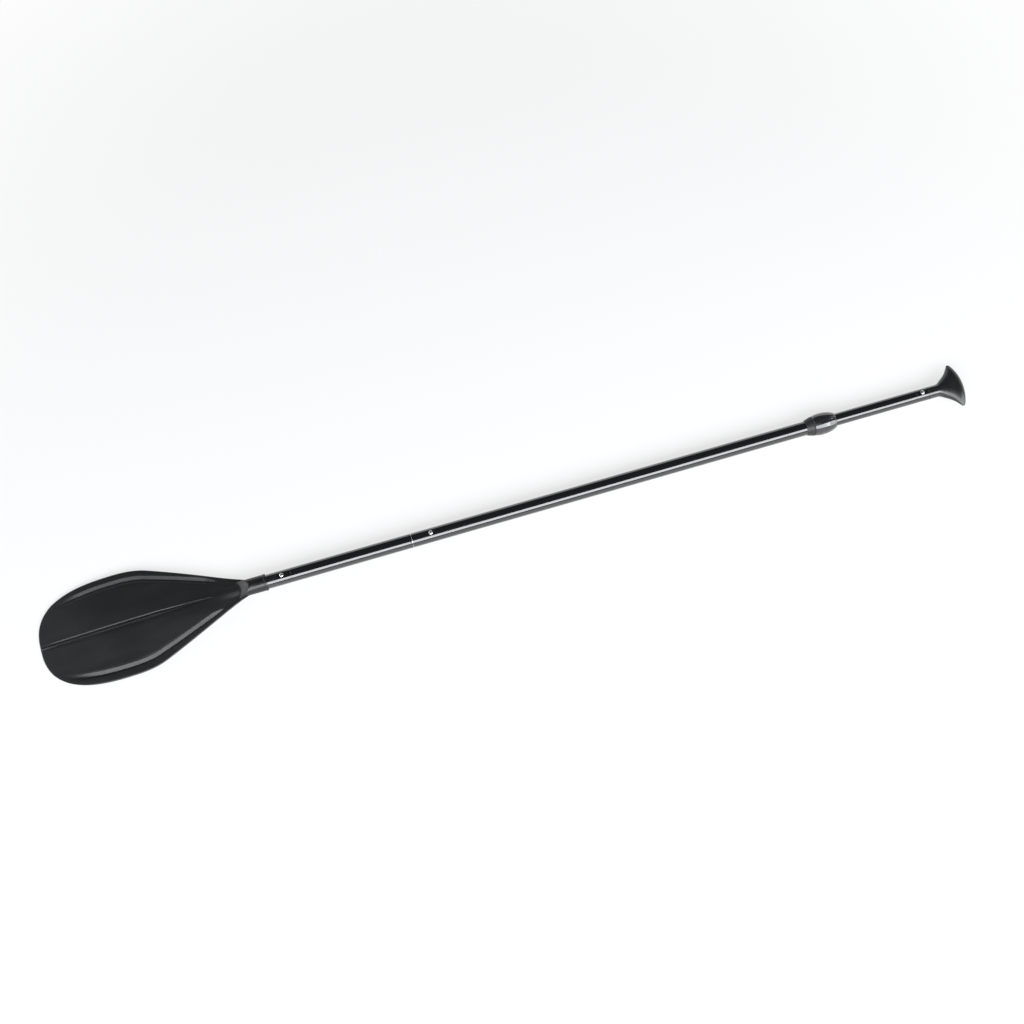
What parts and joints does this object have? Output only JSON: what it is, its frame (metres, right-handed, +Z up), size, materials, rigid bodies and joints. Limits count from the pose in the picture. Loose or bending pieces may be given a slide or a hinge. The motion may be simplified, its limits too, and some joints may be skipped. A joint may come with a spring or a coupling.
{
  "type": "single blade paddle",
  "caption": "Adjustable stand-up paddle in three black tubes that plug and telescope together, with a ribbed moulded blade, a twist lock and a palm grip.",
  "frame": {"origin": "under the middle of the whole paddle, on the surface it lies on", "axes": "+X along the shaft towards the palm grip, +Y across the blade, +Z up, square to the blade's broad face"},
  "size_m": [1.8906, 0.21, 0.044],
  "materials": {
    "blade_plastic": "satin moulded nylon, fine grain, scuffed along the rim",
    "plug_plastic": "smooth moulded, gloss",
    "tube_black": "aluminium tube, deep gloss black",
    "spring_steel": "bright rolled strip",
    "button_chrome": "polished",
    "float_foam": "closed-cell foam",
    "collar_plastic": "satin moulded",
    "seal_rubber": "matt",
    "collet_plastic": "slippery moulded acetal",
    "nut_plastic": "gloss moulded, fluted",
    "grip_plastic": "satin to gloss moulded"
  },
  "bodies": {
    "middle": {"middle_tube": "tube_black", "lock_collar": "collar_plastic", "lock_seal_ring": "seal_rubber", "lock_collet": "collet_plastic"},
    "lower": {"lower_tube": "tube_black", "lower_float_plug": "float_foam", "ferrule": "tube_black", "ferrule_snap_spring": "spring_steel"},
    "blade": {"blade": "blade_plastic", "blade_spigot": "plug_plastic", "blade_snap_spring": "spring_steel"},
    "blade_button": {"blade_snap_button": "button_chrome"},
    "ferrule_button": {"ferrule_snap_button": "button_chrome"},
    "lock_nut": {"twist_nut": "nut_plastic"},
    "upper": {"upper_tube": "tube_black", "upper_float_plug": "float_foam"},
    "grip": {"grip_spigot": "plug_plastic", "grip": "grip_plastic", "grip_snap_spring": "spring_steel"},
    "grip_button": {"grip_snap_button": "button_chrome"}
  },
  "joints": [
    {"name": "ferrule_slide", "type": "slide", "parent": "middle", "child": "lower", "axis": [-1, 0, 0], "range_m": [0, 0.1], "deforming": ["ferrule_snap_button", "ferrule_snap_spring"]},
    {"name": "blade_slide", "type": "slide", "parent": "lower", "child": "blade", "axis": [-1, 0, 0], "range_m": [0, 0.075], "deforming": ["blade_snap_button", "blade_snap_spring"]},
    {"name": "blade_button_press", "type": "slide", "parent": "blade", "child": "blade_button", "axis": [0, 0, -1], "range_m": [0, 0.0042], "stiffness_N_per_m": 1000, "springref_m": -0.003, "deforming": ["blade_snap_spring"]},
    {"name": "ferrule_button_press", "type": "slide", "parent": "lower", "child": "ferrule_button", "axis": [0, 0, -1], "range_m": [0, 0.0042], "stiffness_N_per_m": 1000, "springref_m": -0.003, "deforming": ["ferrule_snap_spring"]},
    {"name": "lock_twist", "type": "hinge", "parent": "middle", "child": "lock_nut", "pos_m": [0.6497, 0, 0.022], "axis": [1, 0, 0], "range_deg": [0, 120]},
    {"name": "upper_slide", "type": "slide", "parent": "middle", "child": "upper", "axis": [1, 0, 0], "range_m": [-0.17, 0.62]},
    {"name": "grip_slide", "type": "slide", "parent": "upper", "child": "grip", "axis": [1, 0, 0], "range_m": [0, 0.075], "deforming": ["grip_snap_button", "grip_snap_spring"]},
    {"name": "grip_button_press", "type": "slide", "parent": "grip", "child": "grip_button", "axis": [0, 0, -1], "range_m": [0, 0.0042], "stiffness_N_per_m": 1000, "springref_m": -0.003, "deforming": ["grip_snap_spring"]}
  ]
}
